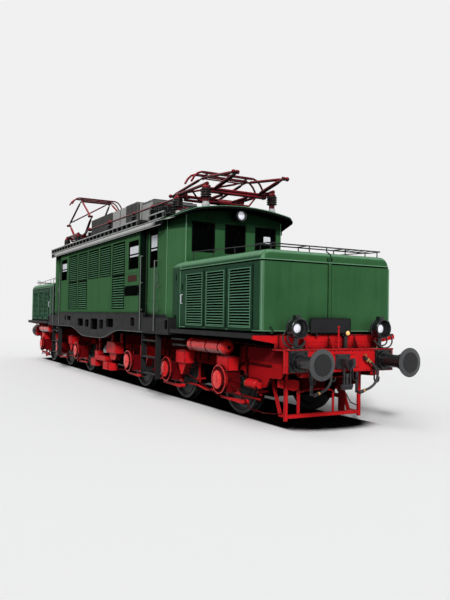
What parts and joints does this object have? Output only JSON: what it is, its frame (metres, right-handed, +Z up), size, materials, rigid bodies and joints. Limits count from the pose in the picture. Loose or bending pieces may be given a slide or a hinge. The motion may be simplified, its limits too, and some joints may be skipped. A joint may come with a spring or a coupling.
{
  "type": "electric locomotive",
  "caption": "Six-axle electric locomotive with a long bonnet on each bogie, a cab at each end of the body and two folding pantographs.",
  "frame": {"origin": "on the floor under the middle of the locomotive, level with the lowest points of the wheel flanges", "axes": "+X to the front end, +Y to the left side, +Z up"},
  "size_m": [18.6, 3, 5.7718],
  "materials": {
    "body_green": "semi-gloss paint",
    "frame_grey": "satin paint",
    "roof_grey": "matt paint",
    "roof_steel": "matt paint",
    "duct_grey": "matt paint",
    "gear_red": "semi-gloss paint",
    "pantograph_red": "semi-gloss paint",
    "black_paint": "satin paint",
    "dark_steel": "oiled steel",
    "rail_steel": "worn steel",
    "wheel_steel": "worn steel",
    "cab_inside": "matt paint",
    "tank_grey": "matt paint",
    "motor_iron": "matt paint",
    "hose_rubber": "matt rubber"
  },
  "bodies": {
    "root": {"bridge_frame": "frame_grey", "left_side_wall": "body_green", "right_side_wall": "body_green", "front_cab_wall": "body_green", "rear_cab_wall": "body_green", "roof": "roof_grey", "roof_walkways": "roof_steel", "roof_ducts": "duct_grey", "roof_headlamps": "black_paint", "pantograph_frames": "pantograph_red", "cab_ladders": "frame_grey", "cab_handrails": "rail_steel", "cab_interiors": "cab_inside", "transformer": "tank_grey"},
    "front_bogie": {"front_bogie_frame": "gear_red", "front_running_board": "frame_grey", "front_hood": "body_green", "front_louvre_doors": "body_green", "front_buffer_beam": "gear_red", "front_buffers": "black_paint", "front_drawgear": "dark_steel", "front_sandboxes": "gear_red", "front_air_tanks": "gear_red", "front_traction_motors": "motor_iron", "front_headlamps": "black_paint", "front_left_brake_hose": "hose_rubber", "front_right_brake_hose": "hose_rubber"},
    "front_wheelset_1": {"front_wheelset_1": "wheel_steel"},
    "front_wheelset_2": {"front_wheelset_2": "wheel_steel"},
    "front_wheelset_3": {"front_wheelset_3": "wheel_steel"},
    "front_left_door": {"front_left_door": "body_green"},
    "front_right_door": {"front_right_door": "body_green"},
    "front_pantograph_fore_lower_arm": {"front_pantograph_fore_lower_arm": "pantograph_red"},
    "front_pantograph_fore_upper_arm": {"front_pantograph_fore_upper_arm": "pantograph_red"},
    "front_pantograph_aft_lower_arm": {"front_pantograph_aft_lower_arm": "pantograph_red"},
    "front_pantograph_aft_upper_arm": {"front_pantograph_aft_upper_arm": "pantograph_red"},
    "front_pantograph_head": {"front_pantograph_head": "pantograph_red"},
    "rear_bogie": {"rear_bogie_frame": "gear_red", "rear_running_board": "frame_grey", "rear_hood": "body_green", "rear_louvre_doors": "body_green", "rear_buffer_beam": "gear_red", "rear_buffers": "black_paint", "rear_drawgear": "dark_steel", "rear_sandboxes": "gear_red", "rear_air_tanks": "gear_red", "rear_traction_motors": "motor_iron", "rear_headlamps": "black_paint", "rear_left_brake_hose": "hose_rubber", "rear_right_brake_hose": "hose_rubber"},
    "rear_wheelset_1": {"rear_wheelset_1": "wheel_steel"},
    "rear_wheelset_2": {"rear_wheelset_2": "wheel_steel"},
    "rear_wheelset_3": {"rear_wheelset_3": "wheel_steel"},
    "rear_left_door": {"rear_left_door": "body_green"},
    "rear_right_door": {"rear_right_door": "body_green"},
    "rear_pantograph_fore_lower_arm": {"rear_pantograph_fore_lower_arm": "pantograph_red"},
    "rear_pantograph_fore_upper_arm": {"rear_pantograph_fore_upper_arm": "pantograph_red"},
    "rear_pantograph_aft_lower_arm": {"rear_pantograph_aft_lower_arm": "pantograph_red"},
    "rear_pantograph_aft_upper_arm": {"rear_pantograph_aft_upper_arm": "pantograph_red"},
    "rear_pantograph_head": {"rear_pantograph_head": "pantograph_red"}
  },
  "joints": [
    {"name": "front_bogie_pivot", "type": "hinge", "parent": "root", "child": "front_bogie", "pos_m": [4.55, 0, 1.3], "axis": [0, 0, 1], "range_deg": [-2.5, 2.5]},
    {"name": "front_wheelset_1_spin", "type": "hinge", "parent": "front_bogie", "child": "front_wheelset_1", "pos_m": [6.85, 0, 0.653], "axis": [0, 1, 0], "continuous": true},
    {"name": "front_wheelset_2_spin", "type": "hinge", "parent": "front_bogie", "child": "front_wheelset_2", "pos_m": [4.55, 0, 0.653], "axis": [0, 1, 0], "continuous": true},
    {"name": "front_wheelset_3_spin", "type": "hinge", "parent": "front_bogie", "child": "front_wheelset_3", "pos_m": [2.25, 0, 0.653], "axis": [0, 1, 0], "continuous": true},
    {"name": "front_left_door_hinge", "type": "hinge", "parent": "root", "child": "front_left_door", "pos_m": [3.584, 1.27, 2.7], "axis": [0, 0, -1], "range_deg": [0, 88]},
    {"name": "front_right_door_hinge", "type": "hinge", "parent": "root", "child": "front_right_door", "pos_m": [3.584, -1.27, 2.7], "axis": [0, 0, 1], "range_deg": [0, 88]},
    {"name": "front_pantograph_raise", "type": "hinge", "parent": "root", "child": "front_pantograph_fore_lower_arm", "pos_m": [5.19, 0, 4.398], "axis": [0, -1, 0], "range_deg": [0, 56]},
    {"name": "front_pantograph_fore_knee", "type": "hinge", "parent": "front_pantograph_fore_lower_arm", "child": "front_pantograph_fore_upper_arm", "pos_m": [6.15019, 0, 4.56731], "axis": [0, 1, 0], "range_deg": [0, 102.94]},
    {"name": "front_pantograph_aft_shaft", "type": "hinge", "parent": "root", "child": "front_pantograph_aft_lower_arm", "pos_m": [4.13, 0, 4.398], "axis": [0, 1, 0], "range_deg": [0, 56]},
    {"name": "front_pantograph_aft_knee", "type": "hinge", "parent": "front_pantograph_aft_lower_arm", "child": "front_pantograph_aft_upper_arm", "pos_m": [3.16981, 0, 4.56731], "axis": [0, -1, 0], "range_deg": [0, 102.94]},
    {"name": "front_pantograph_head_pivot", "type": "hinge", "parent": "front_pantograph_fore_upper_arm", "child": "front_pantograph_head", "pos_m": [4.73, 0, 4.73454], "axis": [0, -1, 0], "range_deg": [0, 46.94]},
    {"name": "rear_bogie_pivot", "type": "hinge", "parent": "root", "child": "rear_bogie", "pos_m": [-4.55, 0, 1.3], "axis": [0, 0, 1], "range_deg": [-2.5, 2.5]},
    {"name": "rear_wheelset_1_spin", "type": "hinge", "parent": "rear_bogie", "child": "rear_wheelset_1", "pos_m": [-6.85, 0, 0.653], "axis": [0, 1, 0], "continuous": true},
    {"name": "rear_wheelset_2_spin", "type": "hinge", "parent": "rear_bogie", "child": "rear_wheelset_2", "pos_m": [-4.55, 0, 0.653], "axis": [0, 1, 0], "continuous": true},
    {"name": "rear_wheelset_3_spin", "type": "hinge", "parent": "rear_bogie", "child": "rear_wheelset_3", "pos_m": [-2.25, 0, 0.653], "axis": [0, 1, 0], "continuous": true},
    {"name": "rear_left_door_hinge", "type": "hinge", "parent": "root", "child": "rear_left_door", "pos_m": [-3.584, 1.27, 2.7], "axis": [0, 0, 1], "range_deg": [0, 88]},
    {"name": "rear_right_door_hinge", "type": "hinge", "parent": "root", "child": "rear_right_door", "pos_m": [-3.584, -1.27, 2.7], "axis": [0, 0, -1], "range_deg": [0, 88]},
    {"name": "rear_pantograph_raise", "type": "hinge", "parent": "root", "child": "rear_pantograph_fore_lower_arm", "pos_m": [-4.13, 0, 4.398], "axis": [0, -1, 0], "range_deg": [-26, 30]},
    {"name": "rear_pantograph_fore_knee", "type": "hinge", "parent": "rear_pantograph_fore_lower_arm", "child": "rear_pantograph_fore_upper_arm", "pos_m": [-3.34121, 0, 4.97109], "axis": [0, 1, 0], "range_deg": [-47.08, 54.32]},
    {"name": "rear_pantograph_aft_shaft", "type": "hinge", "parent": "root", "child": "rear_pantograph_aft_lower_arm", "pos_m": [-5.19, 0, 4.398], "axis": [0, 1, 0], "range_deg": [-26, 30]},
    {"name": "rear_pantograph_aft_knee", "type": "hinge", "parent": "rear_pantograph_aft_lower_arm", "child": "rear_pantograph_aft_upper_arm", "pos_m": [-5.97879, 0, 4.97109], "axis": [0, -1, 0], "range_deg": [-47.08, 54.32]},
    {"name": "rear_pantograph_head_pivot", "type": "hinge", "parent": "rear_pantograph_fore_upper_arm", "child": "rear_pantograph_head", "pos_m": [-4.59, 0, 5.66781], "axis": [0, -1, 0], "range_deg": [-21.08, 24.32]}
  ],
  "couplings": [
    {"joint": "front_pantograph_fore_knee", "follows": "front_pantograph_raise", "ratio": 1.8373},
    {"joint": "front_pantograph_aft_shaft", "follows": "front_pantograph_raise", "ratio": 1},
    {"joint": "front_pantograph_aft_knee", "follows": "front_pantograph_raise", "ratio": 1.8373},
    {"joint": "front_pantograph_head_pivot", "follows": "front_pantograph_raise", "ratio": 0.8373},
    {"joint": "rear_pantograph_fore_knee", "follows": "rear_pantograph_raise", "ratio": 1.809},
    {"joint": "rear_pantograph_aft_shaft", "follows": "rear_pantograph_raise", "ratio": 1},
    {"joint": "rear_pantograph_aft_knee", "follows": "rear_pantograph_raise", "ratio": 1.809},
    {"joint": "rear_pantograph_head_pivot", "follows": "rear_pantograph_raise", "ratio": 0.809}
  ]
}
